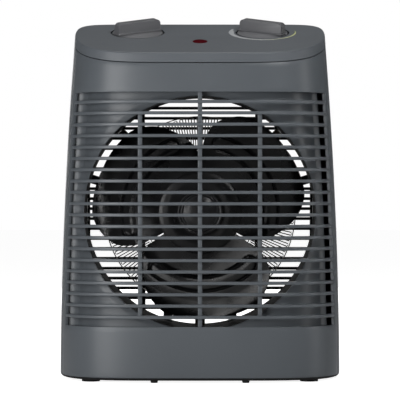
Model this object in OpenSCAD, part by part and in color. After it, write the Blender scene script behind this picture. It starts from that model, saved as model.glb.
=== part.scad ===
// Free-standing fan heater: slatted front, sloped control panel with two knobs,
// three-blade fan, ribbon heating element and shaded-pole motor inside.
// X runs across the heater, the front faces -Y, and Z is up from the table.

/* [Body] */
// Width of the body at its foot
body_w = 250.4; // [244:0.2:310]
// Depth of the body at its foot
body_d = 165; // [160:1:210]
// Height of the control panel's front edge
panel_front_z = 288; // [284:1:350]
// How far each side leans in by the reference height
side_taper = 11.6; // [6:0.2:13]
// Lean of the back, per unit of height
back_lean = 0.172; // [0.12:0.002:0.18]
// Depth of the widest line behind the front face
widest_d = 75; // [70:1:85]
// Slope of the control panel, in degrees
panel_slope = 15.8; // [10:0.1:18]
// Thickness of the housing walls
wall = 2.8; // [2.2:0.1:3.6]
// Depth of the joint between front and rear shells
seam_d = 50; // [47:1:56]
// Gap shown at the seams of the housing
seam_gap = 0.5; // [0.2:0.1:1]
// Height of the control panel's side band
panel_band = 8.4; // [7:0.2:12]
// Radius of the rounded bottom edge
edge_r = 3.5; // [2:0.5:5]

/* [Front grille] */
// Height of the grille's lower edge
grille_z = 49.1; // [47:0.1:56]
// Number of slats
slats = 20; // [12:1:20]
// Distance from one slat to the next
slat_pitch = 9.9; // [8:0.1:10]
// Thickness of a slat
slat_t = 2.8; // [2:0.1:4]
// Depth of a slat from front to back
slat_d = 5; // [4:0.5:6]
// Sideways place of the outer upright bars
upright_x = 52.3; // [40:0.1:60]
// Width of an upright bar
upright_w = 3.8; // [2:0.1:6]
// Depth at which the slots end on the sides
slot_end_d = 41; // [36:1:44]

/* [Air path] */
// Height of the fan's axis
axis_z = 148.3; // [148:0.1:156]
// Radius of the air duct's bore
duct_r = 104; // [86:0.5:106]
// Thickness of the air duct
duct_t = 2; // [1.6:0.1:2.6]
// Set-back of the baffle behind the front face
baffle_back = 10; // [9:0.5:12]
// Thickness of the baffle
baffle_t = 2.2; // [1.6:0.1:3]
// Half width of the flats on the rear opening
rear_flat_x = 101; // [95:0.5:104]
// Distance between the rear grille's bars
rear_pitch = 9.2; // [8:0.1:12]
// Thickness of a rear bar
rear_bar_t = 2.5; // [2:0.1:3.5]
// Height of the middle rear bar above the fan's axis
rear_bar_up = 3.4; // [0:0.1:6]

/* [Fan] */
// Gap between the blades' tips and the duct
tip_gap = 8.6; // [7:0.1:20]
// Depth of the fan's disc behind the front face
fan_d = 65; // [60:1:68]
// Thickness of the blade sheet
blade_t = 1.2; // [0.8:0.1:1.6]
// How far a blade's edges stand out of the disc's plane
blade_rise = 13; // [8:0.5:14]
// Radius of the disc that carries the blades
disc_r = 37; // [30:0.5:42]
// Radius of the hub cap
cap_r = 20; // [12:0.5:24]

/* [Motor] */
// Radius of the motor shaft
shaft_r = 3; // [2.5:0.1:4]
// Running clearance of a shaft in its bearing
run_gap = 0.03; // [0.02:0.01:0.08]
// Radius of the rotor
rotor_r = 14; // [11:0.5:14.5]
// Length of the laminated stator core
core_l = 20; // [14:1:22]
// Depth at which the motor mount starts
mount_d = 91; // [90:1:93]

/* [Heater] */
// Inner radius of the heating ribbon
ribbon_r0 = 53; // [52:0.5:60]
// Room between the heating ribbon and the duct
ribbon_room = 18.5; // [16:0.5:26]
// Number of folds round the ring
ribbon_folds = 84; // [40:4:96]
// Width of the ribbon, front to back
ribbon_w = 8; // [5:0.5:9]
// Depth at which the ribbon starts
ribbon_d = 97; // [96:1:99]

/* [Controls] */
// Sideways place of each knob
knob_x = 56; // [52:0.5:64]
// Depth of the knobs' centres
knob_d = 77; // [70:1:80]
// Radius of a knob's disc
knob_r = 23; // [18:0.5:24]
// Gap round a knob in its well
well_gap = 0.9; // [0.5:0.1:1.5]
// Depth of the wells
well_depth = 2.4; // [2:0.1:3]
// Height of the grip above the panel
grip_top = 10.6; // [8:0.1:14]
// Width of the grip
grip_w = 9; // [8:0.5:12]
// Turn of the grips at rest, in degrees
grip_turn = 30; // [0:5:45]
// Radius of the knob spindles
spindle_r = 3; // [2.5:0.1:3.5]
// Radius of the pilot lens
lens_r = 6.5; // [4:0.5:8]
// Depth of the pilot lens behind the front face
lens_d = 42; // [36:1:50]

/* [Feet and inlet] */
// Radius of a foot
foot_r = 8; // [6:0.5:10]
// Height of the body above the table
foot_h = 2.3; // [2:0.1:6]
// Inset of the feet from the body's side
foot_in = 29; // [22:1:40]
// Thickness of the base plate
base_t = 2.2; // [1.8:0.1:3]
// Radius of the cable inlet's bore
inlet_r = 4; // [3:0.1:5]
// Sideways place of the cable inlet
inlet_x = 62; // [40:1:76]
// Height of the cable inlet
inlet_z = 25; // [22:1:30]

/* [Hidden] */

$fn = 64;
taper_h = 285;        // height at which side_taper is reached
taper_power = 1.85;   // how the taper grows with height
corner_power = 5;     // squareness of the front corners
rear_power = 12;      // squareness of the rear corners across
rear_round = 3;       // squareness of the rear corners along
arc_step = 9;         // angle between the outline's points
slice_t = 0.01;       // thickness of the slices that a hull joins
fit_gap = 0.1;        // gap between fixed pieces that meet
far = 500;            // larger than the heater in every direction

fan_r = duct_r - tip_gap;
ribbon_r1 = duct_r - ribbon_room;
mid_d = (body_d - back_lean * (foot_h + edge_r)) / 2;
crown_z = (panel_front_z + body_d * tan(panel_slope)) / (1 + back_lean * tan(panel_slope));
grille_h = (slats + 1) * slat_pitch - slat_t;
base_top = foot_h + base_t;
shell_z = base_top + fit_gap;
bolt_x = 40;          // sideways place of the base screws
screw_r = 1.5;        // radius of the self-tapping screws
head_r = 3.4;         // radius of their heads
head_h = 2;           // height of their heads
boss_r = 5.2;         // radius of the screw bosses
sill_step = 0.2;      // how far the sills stand back from the recess's edges
mount_t = 2.5;        // thickness of the motor mount
core_d = mount_d + mount_t + fit_gap;
tie_x = 22;           // sideways place of the motor's tie screws
tie_r = 2;            // radius of the tie screws
bracket_t = 2;        // thickness of the bearing brackets
leg_l = 5;            // length of the brackets' legs
well_r = knob_r + well_gap;
bush_r = spindle_r + 1.6;

grey = "#6b6f72";
dark = "#1d1e20";
steel = "#b7babd";
mica = "#c9b48a";

// ---- the body's outline ------------------------------------------------

function lie(d) = d - mid_d;
function half_w(z) = body_w / 2 - side_taper * pow(z / taper_h, taper_power);
function depth_at(z) = body_d - back_lean * z;
function part_of(v, a, p) = max(0, 1 - pow(min(1, abs(v) / a), p));
// depth of the front face at x, for an outline drawn in by t
function front_d(x, z, t = 0) =
  widest_d - (widest_d - t) * sqrt(part_of(x, half_w(z) - t, corner_power));
// depth of the rear face at x, for an outline drawn in by t
function rear_d(x, z, t = 0) =
  widest_d + (depth_at(z) - widest_d - t) * pow(part_of(x, half_w(z) - t, rear_power), 1 / rear_round);
function panel_z(d) = panel_front_z + d * tan(panel_slope);

function front_arc(z, t) = [for (u = [0:arc_step:180]) let (c = cos(u))
  [(half_w(z) - t) * sign(c) * pow(abs(c), 2 / corner_power),
   lie(widest_d - (widest_d - t) * sin(u))]];
function rear_arc(z, t) = [for (u = [180 - arc_step:-arc_step:arc_step]) let (c = cos(u))
  [(half_w(z) - t) * sign(c) * pow(abs(c), 2 / rear_power),
   lie(widest_d + (depth_at(z) - widest_d - t) * pow(sin(u), 2 / rear_round))]];

module slice(z, front_in, rear_in)
  translate([0, 0, z])
    linear_extrude(slice_t)
      polygon(concat(front_arc(z, front_in), rear_arc(z, rear_in)));

// the whole body as one solid, drawn in by front_in at the front and rear_in at the back
module body(front_in = 0, rear_in = -1) {
  back_in = rear_in < 0 ? front_in : rear_in;
  hull() {
    for (a = [0:30:90]) {
      draw = edge_r * (1 - sin(a));
      slice(foot_h + edge_r * (1 - cos(a)), front_in + draw, back_in + draw);
    }
    for (i = [1:6]) slice(foot_h + edge_r + (crown_z + 1 - foot_h - edge_r) * i / 6, front_in, back_in);
  }
}
// the front half only, between two heights
module front_half(t, z0, z1) hull()
  for (z = [z0, (z0 + z1) / 2, z1 - slice_t])
    translate([0, 0, z]) linear_extrude(slice_t) polygon(front_arc(z, t));

module skin(t0, t1) difference() { body(t0); body(t1); }
module slab(z, h) translate([-far, -far, z]) cube([2 * far, 2 * far, h]);
module depths(d0, d1) translate([-far, lie(d0), 0]) cube([2 * far, d1 - d0, far]);
module below_panel(drop)
  translate([0, lie(0), panel_front_z - drop]) rotate([panel_slope, 0, 0])
    translate([-far, -far, -far]) cube([2 * far, 2 * far, far]);
module on_panel(x, d) translate([x, lie(d), panel_z(d)]) rotate([panel_slope, 0, 0]) children();
module rod(r, d0, d1, x = 0, z = 0, sides = 64)
  translate([x, lie(d0), z]) rotate([-90, 0, 0]) cylinder(r = r, h = d1 - d0, $fn = sides);
module on_axis() translate([0, 0, axis_z]) children();
module both_sides() {
  children();
  mirror([1, 0, 0]) children();
}

// ---- housing -----------------------------------------------------------

function slat_z(i) = grille_z + (i + 1) * slat_pitch - slat_t;
top_screw_z = panel_front_z - 22;
low_screw_z = 26;
top_screw_x = half_w(top_screw_z) - 22;
low_screw_x = half_w(low_screw_z) - 20;
screw_head_d = seam_d + 12;
base_front_d = wall + boss_r - 0.8;
base_rear_d = rear_d(bolt_x, base_top, wall) - boss_r;

// screw places of the housing: [x, z] on the right-hand side
screw_places = [[low_screw_x, low_screw_z], [top_screw_x, top_screw_z]];

module post(d) translate([bolt_x, lie(d), shell_z]) hull() {
  cylinder(r = boss_r, h = 1, $fn = 24);
  cylinder(r = boss_r - 0.8, h = 13, $fn = 24);
}
module drafted_boss(place, d0, d1) hull() {
  rod(boss_r, d0, d0 + 1, place[0], place[1], 24);
  rod(boss_r + 1, d1 - 1, d1, place[0], place[1], 24);
}

module front_shell() color(grey) difference() {
  union() {
    difference() {
      intersection() { body(); depths(-5, seam_d - seam_gap / 2); below_panel(panel_band + seam_gap); }
      body(wall);
      intersection() { slab(grille_z, grille_h); depths(-5, slot_end_d); }
    }
    // slats, with the sills above and below them
    intersection() {
      skin(0, slat_d);
      depths(-5, slot_end_d + 1);
      union() for (i = [0:slats - 1]) slab(slat_z(i), slat_t);
    }
    intersection() {
      skin(wall / 2, baffle_back - fit_gap);
      depths(-5, slot_end_d);
      union() { slab(grille_z - wall, wall - sill_step); slab(grille_z + grille_h + sill_step, wall); }
    }
    // upright bars behind the slats
    intersection() {
      skin(slat_d / 2, slat_d + 3);
      depths(-5, slot_end_d);
      union() {
        translate([-upright_w / 2, -far, grille_z - 1]) cube([upright_w, 2 * far, grille_h + 2]);
        both_sides() translate([upright_x - upright_w / 2, -far, slat_z(0)])
          cube([upright_w, 2 * far, slat_z(slats - 2) + slat_t - slat_z(0)]);
      }
    }
    both_sides() {
      for (p = screw_places)
        intersection() {
          drafted_boss(p, front_d(p[0], p[1], wall) - 4, seam_d - seam_gap / 2);
          body(wall / 2);
        }
      intersection() { post(base_front_d); body(wall / 2); }
    }
  }
  both_sides() {
    for (p = screw_places) rod(screw_r + fit_gap, screw_head_d - 26, far, p[0], p[1], 24);
    translate([bolt_x, lie(base_front_d), 0]) cylinder(r = screw_r + fit_gap, h = shell_z + 10, $fn = 24);
  }
  // room for the base plate and the table side
  slab(-far, far + shell_z);
}

module rear_opening(r, flat_x, d0, d1) intersection() {
  rod(r, d0, d1, 0, axis_z, 96);
  translate([-flat_x, -far, 0]) cube([2 * flat_x, 2 * far, far]);
}
rear_rim = 2.4;       // width of the rear grille's rim

module rear_shell() color(grey) difference() {
  union() {
    difference() {
      intersection() {
        body();
        depths(seam_d + seam_gap / 2, far);
        below_panel(panel_band + seam_gap);
      }
      body(wall);
    }
    both_sides() {
      for (p = screw_places)
        intersection() {
          drafted_boss(p, seam_d + seam_gap / 2, rear_d(p[0], p[1], wall) + 4);
          body(wall / 2);
        }
      intersection() { post(base_rear_d); body(wall / 2); }
    }
  }
  rear_opening(duct_r + rear_rim, rear_flat_x + rear_rim, widest_d + 20, far);
  both_sides() {
    for (p = screw_places) {
      rod(screw_r + fit_gap, 0, far, p[0], p[1], 24);
      rod(head_r + 1, screw_head_d, far, p[0], p[1], 24);
    }
    translate([bolt_x, lie(base_rear_d), 0]) cylinder(r = screw_r + fit_gap, h = shell_z + 10, $fn = 24);
  }
  rod(inlet_r + 4 + fit_gap, widest_d + 20, far, inlet_x, inlet_z, 48);
  slab(-far, far + shell_z);
}

grille_in = 2.9;      // how far the rear grille lies inside the back
grille_t = 3;         // its thickness
rear_slope = atan(back_lean);
// a frame whose Y axis points out of the sloping back, at the fan's axis
module on_back() translate([0, lie(depth_at(axis_z)), axis_z]) rotate([rear_slope, 0, 0]) children();
module back_box(w, h, z = 0) on_back()
  translate([-w / 2, -grille_in - grille_t, z - h / 2]) cube([w, grille_t, h]);

module rear_grille() color(dark) intersection() {
  rear_opening(duct_r + rear_rim - fit_gap, rear_flat_x + rear_rim - fit_gap, widest_d, far);
  union() {
    // rim
    difference() {
      back_box(far, far);
      rear_opening(duct_r, rear_flat_x, 0, far);
    }
    for (k = [-11:10]) back_box(far, rear_bar_t, (rear_bar_up + k * rear_pitch) / cos(rear_slope));
    for (x = [-upright_x, 0, upright_x]) translate([x, 0, 0]) back_box(upright_w, far);
  }
}

lip_in = 1.2;         // how far the panel's top edge is drawn in
module control_panel() color(grey) difference() {
  hull() {
    intersection() { body(); panel_layer(panel_band, 1.6); }
    intersection() { body(lip_in * 0.3); panel_layer(1.7, 0.6); }
    intersection() { body(lip_in); panel_layer(1, 0); }
  }
  difference() {
    intersection() { body(wall); below_panel(wall); }
    on_panel(knob_x, knob_d) translate([0, 0, -well_depth - 2.6]) cylinder(r = well_r + 1.6, h = 9);
    on_panel(-knob_x, knob_d) translate([0, 0, -well_depth - 2.6]) cylinder(r = well_r + 1.6, h = 9);
  }
  both_sides() {
    on_panel(knob_x, knob_d) {
      translate([0, 0, -well_depth]) cylinder(r = well_r, h = 9);
      translate([0, 0, -9]) cylinder(r = bush_r + 0.2, h = 9);
    }
  }
  on_panel(0, lens_d) translate([0, 0, -9]) cylinder(r = lens_r + fit_gap, h = 18);
}
module panel_layer(from, to) difference() {
  below_panel(to);
  below_panel(from);
}

foot_x = body_w / 2 - foot_in;
foot_places = [32, body_d - 36];
module base_plate() color(dark) difference() {
  intersection() { body(); slab(foot_h, base_t); }
  both_sides() {
    for (d = [base_front_d, base_rear_d])
      translate([bolt_x, lie(d), 0]) cylinder(r = screw_r + fit_gap, h = 20);
    for (d = foot_places) translate([foot_x, lie(d), 0]) cylinder(r = 3, h = 20);
  }
  slots_under();
}
// intake slots in the base plate
module slots_under() for (x = [-24:12:24])
  translate([x - 2, lie(mid_d) - 25, 0]) cube([4, 50, 20]);

module feet() color("#141414") both_sides() for (d = foot_places)
  translate([foot_x, lie(d), 0]) {
    cylinder(r = foot_r, h = foot_h - 0.02);
    cylinder(r = 2.95, h = base_top);
    translate([0, 0, base_top + 0.02]) cylinder(r1 = 4, r2 = 2.4, h = 3);
    cylinder(r = 2.4, h = base_top + 1);
  }

module screw(l) {
  cylinder(r = screw_r, h = l, $fn = 24);
  translate([0, 0, -head_h]) cylinder(r1 = head_r - 0.5, r2 = head_r, h = head_h, $fn = 24);
}
module base_screws() color(steel) both_sides() for (d = [base_front_d, base_rear_d])
  translate([bolt_x, lie(d), foot_h]) screw(11);
module housing_screws() color(steel) both_sides() for (p = screw_places)
  translate([p[0], lie(screw_head_d), p[1]]) rotate([90, 0, 0]) screw(24);

// ---- air path ----------------------------------------------------------

baffle_end_d = slot_end_d + 8;   // depth at which the baffle stops on each side
baffle_low_z = min(grille_z, axis_z - duct_r) - 4;
baffle_top_z = max(grille_z + grille_h, axis_z + duct_r) + 4;
module air_baffle() color(grey) difference() {
  intersection() {
    difference() {
      front_half(baffle_back, baffle_low_z, baffle_top_z);
      front_half(baffle_back + baffle_t, baffle_low_z - 5, baffle_top_z + 5);
    }
    depths(0, baffle_end_d);
  }
  rod(duct_r - 1.5, -far, far, 0, axis_z);
}

module air_duct() color(grey) intersection() {
  difference() {
    rod(duct_r + duct_t, 0, body_d, 0, axis_z);
    rod(duct_r, -1, body_d + 1, 0, axis_z);
  }
  duct_space();
}
// between the baffle and the rear grille
module duct_space() difference() {
  hull() for (z = [0, axis_z, axis_z + duct_r + 10]) slice(z, baffle_back + baffle_t + fit_gap, wall + fit_gap);
  on_back() translate([-far, -grille_in - grille_t - fit_gap, -far]) cube([2 * far, far, 2 * far]);
}

// ---- fan ---------------------------------------------------------------

blades = 3;
root_r = disc_r - 4;
tip_round = 16;       // radius of the blades' corners
full_r = 54;          // inside this radius the blades are at their widest
// half angle that a blade spans at radius r
function blade_span(r) = let (
    out = max(0, (r - full_r) / (fan_r - full_r)),
    over = max(0, r - (fan_r - tip_round)),
    cut = tip_round - sqrt(max(0, tip_round * tip_round - over * over)))
  58 - 25 * pow(out, 1.35) - cut / r * 180 / PI;
// direction of the first blade's middle at radius r, counted from +X towards +Z
function blade_mid(r) = 30 + 6 * min(1, max(0, (r - full_r) / 25));
// how far the sheet stands out at radius r, at the part a (-1 to 1) of its half width
function blade_out(r, a) = -blade_rise * a * min(1, max(0, (r - disc_r) / 26));
blade_rings = 12;
blade_cols = 10;
function blade_r(i) = root_r + (fan_r - root_r) * (1 - pow(1 - i / blade_rings, 1.5));
function blade_point(i, j, side) = let (
    r = blade_r(i), part = 2 * j / blade_cols - 1, a = blade_mid(r) + blade_span(r) * part)
  [r * cos(a), side * blade_t / 2 + blade_out(r, part), r * sin(a)];
module blade() {
  n = blade_cols + 1;
  m = (blade_rings + 1) * n;
  faces_a = [for (i = [0:blade_rings - 1], j = [0:blade_cols - 1])
    each [[i * n + j, (i + 1) * n + j + 1, i * n + j + 1], [i * n + j, (i + 1) * n + j, (i + 1) * n + j + 1]]];
  faces_b = [for (f = faces_a) [m + f[0], m + f[2], m + f[1]]];
  rim = concat([for (j = [0:blade_cols - 1]) j],
    [for (i = [0:blade_rings - 1]) i * n + blade_cols],
    [for (j = [blade_cols:-1:1]) blade_rings * n + j],
    [for (i = [blade_rings:-1:1]) i * n]);
  k = len(rim);
  faces_rim = [for (i = [0:k - 1]) each let (a = rim[i], b = rim[(i + 1) % k])
    [[a, b, m + b], [a, m + b, m + a]]];
  polyhedron(
    points = concat([for (i = [0:blade_rings], j = [0:blade_cols]) blade_point(i, j, 1)],
      [for (i = [0:blade_rings], j = [0:blade_cols]) blade_point(i, j, -1)]),
    faces = concat(faces_a, faces_b, faces_rim), convexity = 6);
}
disc_t = 2.4;
module fan() color(dark) difference() {
  union() {
    for (k = [0:blades - 1]) translate([0, lie(fan_d), axis_z]) rotate([0, -k * 360 / blades, 0]) blade();
    rod(disc_r, fan_d - disc_t / 2, fan_d + disc_t / 2, 0, axis_z, 96);
  }
  rod(shaft_r + 0.02, 0, far, 0, axis_z);
}
hub_d = fan_d + disc_t / 2 + 0.02;
module fan_hub() color(steel) difference() {
  union() {
    rod(9, hub_d, hub_d + 11, 0, axis_z);
    rod(14, hub_d, hub_d + 2, 0, axis_z);
  }
  rod(shaft_r + 0.02, 0, far, 0, axis_z);
}
cap_h = 7;
module hub_cap() color(dark) difference() {
  translate([0, lie(fan_d - disc_t / 2 - 0.02), axis_z]) rotate([90, 0, 0]) rotate_extrude($fn = 96)
    polygon([[0, 0], [cap_r, 0], [cap_r, cap_h - 1.6], [cap_r - 0.6, cap_h - 1], [cap_r - 2.3, cap_h - 1],
      [cap_r - 2.9, cap_h - 2], [cap_r - 4, cap_h - 2], [cap_r - 7, cap_h - 0.6], [0, cap_h]]);
  rod(shaft_r + 0.02, fan_d - disc_t / 2 - 5, fan_d, 0, axis_z);
}

// ---- motor -------------------------------------------------------------

shaft_end_d = core_d + core_l + leg_l + 8;
module motor_shaft() color(steel)
  rod(shaft_r, fan_d - disc_t / 2 - 4.6, shaft_end_d, 0, axis_z);
module rotor() color("#8a8d90") difference() {
  rod(rotor_r, core_d + 1, core_d + core_l - 1, 0, axis_z);
  rod(shaft_r + 0.02, 0, far, 0, axis_z);
}
core_w = 54;          // width of the core
core_up = 20;         // core above the axis
core_down = 40;       // core below the axis
window_h = 13;        // opening for the coil
yoke = 7;             // core under the coil
module stator_core() color("#5b5f63") difference() {
  translate([-core_w / 2, lie(core_d), axis_z - core_down]) cube([core_w, core_l, core_down + core_up]);
  translate([-15, lie(core_d) - 1, axis_z - core_down + yoke]) cube([30, core_l + 2, window_h]);
  rod(rotor_r + 0.5, 0, far, 0, axis_z);
  for (x = [-tie_x, tie_x]) rod(tie_r + fit_gap, 0, far, x, axis_z);
}
coil_z = axis_z - core_down + yoke / 2;
bobbin_gap = 0.2;
bobbin_t = 0.8;       // wall of the bobbin's tube
bobbin_w = 28.8;
// a block centred on the core's yoke, w wide and standing out by grow
module round_yoke(w, grow) translate([-w / 2, lie(core_d) - grow, coil_z - yoke / 2 - grow])
  cube([w, core_l + 2 * grow, yoke + 2 * grow]);
module coil_bobbin() color("#d8d4c8") difference() {
  union() {
    round_yoke(bobbin_w, bobbin_gap + bobbin_t);
    for (x = [-1, 1]) translate([x * (bobbin_w - 1.8) / 2, 0, 0]) round_yoke(1.8, 5.4);
  }
  round_yoke(40, bobbin_gap);
}
module motor_coil() color("#a5502a") difference() {
  round_yoke(bobbin_w - 3.8, 4.8);
  round_yoke(40, bobbin_gap + bobbin_t + 0.05);
}
bearing_r = 6.5;
bearing_l = 6;
front_leg_d = mount_d - fit_gap;
module bracket(plate_d, leg0, leg1) color(steel) difference() {
  union() {
    translate([-tie_x - 5, lie(plate_d), axis_z - 7]) cube([2 * tie_x + 10, bracket_t, 14]);
    for (x = [-tie_x, tie_x]) rod(4.5, leg0, leg1, x, axis_z);
    rod(bearing_r + 2.5, plate_d - 2, plate_d + 4, 0, axis_z);
  }
  rod(bearing_r + 0.02, 0, far, 0, axis_z);
  for (x = [-tie_x, tie_x]) rod(tie_r + fit_gap, 0, far, x, axis_z);
}
front_plate_d = front_leg_d - leg_l - 1;
rear_plate_d = core_d + core_l + leg_l;
module front_bracket() bracket(front_plate_d, front_plate_d + 0.5, front_leg_d);
module rear_bracket() bracket(rear_plate_d, core_d + core_l + fit_gap, rear_plate_d + 0.5);
module bearing(d) color("#9a7b3c") difference() {
  rod(bearing_r, d - 2, d - 2 + bearing_l, 0, axis_z);
  rod(shaft_r + run_gap, 0, far, 0, axis_z);
}
module front_bearing() bearing(front_plate_d);
module rear_bearing() bearing(rear_plate_d);
module motor_screws() color(steel) for (x = [-tie_x, tie_x]) {
  rod(tie_r, front_plate_d - 1, rear_plate_d + bracket_t + 3, x, axis_z, 32);
  rod(3.6, front_plate_d - 2.6, front_plate_d - 0.02, x, axis_z, 32);
  rod(3.6, rear_plate_d + bracket_t + 0.02, rear_plate_d + bracket_t + 2.6, x, axis_z, 6);
}
arm_turn = 17;        // angle of the mount's upper arms above level
arm_w = 8;
arm_step = 0.4;       // how far the arms' faces lie inside the plate's
prop_x = 29;          // sideways place of its lower arms, which stand upright
prop_r = duct_r - 1.6;
prop_l = sqrt(pow(prop_r, 2) - pow(prop_x + arm_w / 2, 2));
prop_turn = asin(prop_x / prop_r);
// an arm's foot against the duct
module arm_foot() translate([duct_r - 3, arm_step, -arm_w / 2]) cube([1.6, mount_t + 8, arm_w]);
module motor_mount() color(steel) difference() {
  union() {
    translate([-33, lie(mount_d), axis_z - 12]) cube([66, mount_t, 26]);
    for (a = [arm_turn, 180 - arm_turn])
      translate([0, lie(mount_d), axis_z]) rotate([0, -a, 0]) {
        translate([24, arm_step, -arm_w / 2]) cube([duct_r - 25.6, mount_t - 2 * arm_step, arm_w]);
        arm_foot();
      }
    for (side = [-1, 1]) translate([0, lie(mount_d), axis_z]) {
      translate([side * prop_x - arm_w / 2, arm_step, -prop_l]) cube([arm_w, mount_t - 2 * arm_step, prop_l]);
      rotate([0, 90 - side * prop_turn, 0]) arm_foot();
    }
  }
  rod(10.5, 0, far, 0, axis_z);
  for (x = [-tie_x, tie_x]) rod(tie_r + fit_gap, 0, far, x, axis_z);
}

// ---- heater ------------------------------------------------------------

ribbon_t = 0.8;       // thickness of the crimped ribbon
fold_w = PI * (ribbon_r0 + ribbon_r1) / 2 / ribbon_folds;
// how far two fold outlines stand apart along the radius to leave the ribbon's thickness
fold_shift = ribbon_t / sin(atan(fold_w / (ribbon_r1 - ribbon_r0)));
function fold_ring(r_in, r_out) = [for (i = [0:2 * ribbon_folds - 1])
  let (a = i * 180 / ribbon_folds, r = i % 2 == 0 ? r_in : r_out) [r * cos(a), r * sin(a)]];
module heating_ribbon() color("#c8c4ba") translate([0, lie(ribbon_d + ribbon_w), axis_z]) rotate([90, 0, 0])
  linear_extrude(ribbon_w) difference() {
    polygon(fold_ring(ribbon_r0 + fold_shift, ribbon_r1));
    polygon(fold_ring(ribbon_r0, ribbon_r1 - fold_shift));
  }
ring_d1 = ribbon_d + ribbon_w + 2;
module ring(r0, r1) color(mica) difference() {
  rod(r1, ribbon_d - 1, ring_d1, 0, axis_z, 96);
  rod(r0, 0, far, 0, axis_z, 96);
}
module mica_inner_ring() ring(50.4, 51.8);
module mica_outer_ring() ring(ribbon_r1 + 0.5, ribbon_r1 + 1.9);
support_turns = [45, 135, 270];
module heater_supports() color(mica) for (a = support_turns)
  translate([0, lie(ring_d1 + 0.02), axis_z]) rotate([0, -a, 0]) {
    translate([50, 0, -4.5]) cube([duct_r - 51.6, 2, 9]);
    translate([duct_r - 3, -8, -4.5]) cube([1.6, 8.1, 9]);
  }
module heater_terminals() color("#c9a24a") for (z = [-3.2, 2.4])
  translate([0, lie(ring_d1), axis_z]) rotate([0, -135, 0])
    translate([ribbon_r1 + 4, -11, z]) cube([7, 11, 0.8]);
module thermal_cutout() color(dark) translate([0, lie(ring_d1), axis_z]) rotate([0, -45, 0])
  translate([ribbon_r1 + 8.6, 0, 0]) rotate([90, 0, 0]) {
    cylinder(r = 5, h = 5);
    cylinder(r = 3.6, h = 7);
  }

// ---- controls ----------------------------------------------------------

grip_l = 2 * knob_r - 3.5;
disc_top = 1.1;
disc_low = -1.7;
module knob(turn) difference() {
  union() {
    translate([0, 0, disc_low]) cylinder(r = knob_r, h = disc_top - disc_low, $fn = 96);
    rotate([0, 0, turn]) translate([0, grip_w / 2, 0]) rotate([90, 0, 0]) linear_extrude(grip_w)
      polygon(concat([[-grip_l / 2, 0], [grip_l / 2, 0]],
        [for (a = [0:15:90]) [grip_l / 2 - 3.5 + 3.5 * cos(a), grip_top - 3.5 + 3.5 * sin(a)]],
        [for (a = [90:15:180]) [-grip_l / 2 + 3.5 + 3.5 * cos(a), grip_top - 3.5 + 3.5 * sin(a)]]));
  }
  translate([0, 0, disc_low - 1]) cylinder(r = 10, h = 1 - disc_low);
  translate([0, 0, disc_low - 1]) cylinder(r = spindle_r + 0.02, h = 9 - disc_low);
}
spindle_low = -17;
module spindle() cylinder_between(spindle_r, spindle_low, 7.8);
module cylinder_between(r, z0, z1) translate([0, 0, z0]) cylinder(r = r, h = z1 - z0);
module switch_body(w, h) difference() {
  union() {
    translate([-w / 2, -w / 2, -well_depth - 2.62 - h]) cube([w, w, h]);
    cylinder_between(bush_r, -well_depth - 3, -0.9);
  }
  cylinder_between(spindle_r + run_gap, spindle_low - 0.3, 3);
}
module nut() difference() {
  translate([0, 0, -well_depth + 0.02]) cylinder(r = 8, h = 1.5, $fn = 6);
  cylinder_between(bush_r + 0.05, -5, 3);
}
module thermostat_knob() color(grey) on_panel(knob_x, knob_d) knob(-grip_turn);
module thermostat_spindle() color(steel) on_panel(knob_x, knob_d) spindle();
module thermostat_body() color("#e6e2d6") on_panel(knob_x, knob_d) switch_body(32, 17);
module thermostat_nut() color(steel) on_panel(knob_x, knob_d) nut();
module selector_knob() color(grey) on_panel(-knob_x, knob_d) knob(grip_turn);
module selector_spindle() color(steel) on_panel(-knob_x, knob_d) spindle();
module selector_body() color(dark) on_panel(-knob_x, knob_d) switch_body(28, 15);
module selector_nut() color(steel) on_panel(-knob_x, knob_d) nut();

module pilot_lens() color("#5c0a14") on_panel(0, lens_d) rotate_extrude()
  polygon(concat([[0, -5], [lens_r, -5]], [for (a = [0:15:90]) [lens_r * cos(a), 0.2 + 0.9 * sin(a)]]));
module pilot_lamp() color("#d98a4a") on_panel(0, lens_d) {
  cylinder_between(3, -15, -5.1);
  cylinder_between(4.2, -19, -15);
}

// ---- cable inlet -------------------------------------------------------

inlet_wall_d = rear_d(inlet_x, inlet_z);
module cable_inlet() color(dark) difference() {
  union() {
    rod(inlet_r + 4, inlet_wall_d - 14, inlet_wall_d - 0.2, inlet_x, inlet_z);
    rod(inlet_r + 6, inlet_wall_d - 14, inlet_wall_d - wall - 4, inlet_x, inlet_z);
  }
  rod(inlet_r, 0, far, inlet_x, inlet_z);
}
clamp_d = inlet_wall_d - 30;
module cable_clamp() color(dark) difference() {
  translate([inlet_x - 14, lie(clamp_d), base_top + 0.02]) cube([28, 8, inlet_z + 8 - base_top]);
  rod(inlet_r, 0, far, inlet_x, inlet_z);
}
module terminal_block() color("#e9e7df")
  translate([inlet_x - 58, lie(clamp_d - 8), base_top + 0.02]) difference() {
    cube([36, 16, 12]);
    for (i = [0:2]) translate([6 + 12 * i, -1, 6]) rotate([-90, 0, 0]) cylinder(r = 2.2, h = 20, $fn = 32);
  }

front_shell();
rear_shell();
control_panel();
base_plate();
rear_grille();
air_baffle();
air_duct();
feet();
base_screws();
housing_screws();
fan();
fan_hub();
hub_cap();
motor_shaft();
rotor();
stator_core();
motor_coil();
coil_bobbin();
front_bracket();
rear_bracket();
front_bearing();
rear_bearing();
motor_screws();
motor_mount();
heating_ribbon();
mica_inner_ring();
mica_outer_ring();
heater_supports();
heater_terminals();
thermal_cutout();
thermostat_knob();
thermostat_spindle();
thermostat_body();
thermostat_nut();
selector_knob();
selector_spindle();
selector_body();
selector_nut();
pilot_lens();
pilot_lamp();
cable_inlet();
cable_clamp();
terminal_block();
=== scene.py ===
from math import atan, cos, degrees, hypot, pi, radians, sin, sqrt, tan

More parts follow.
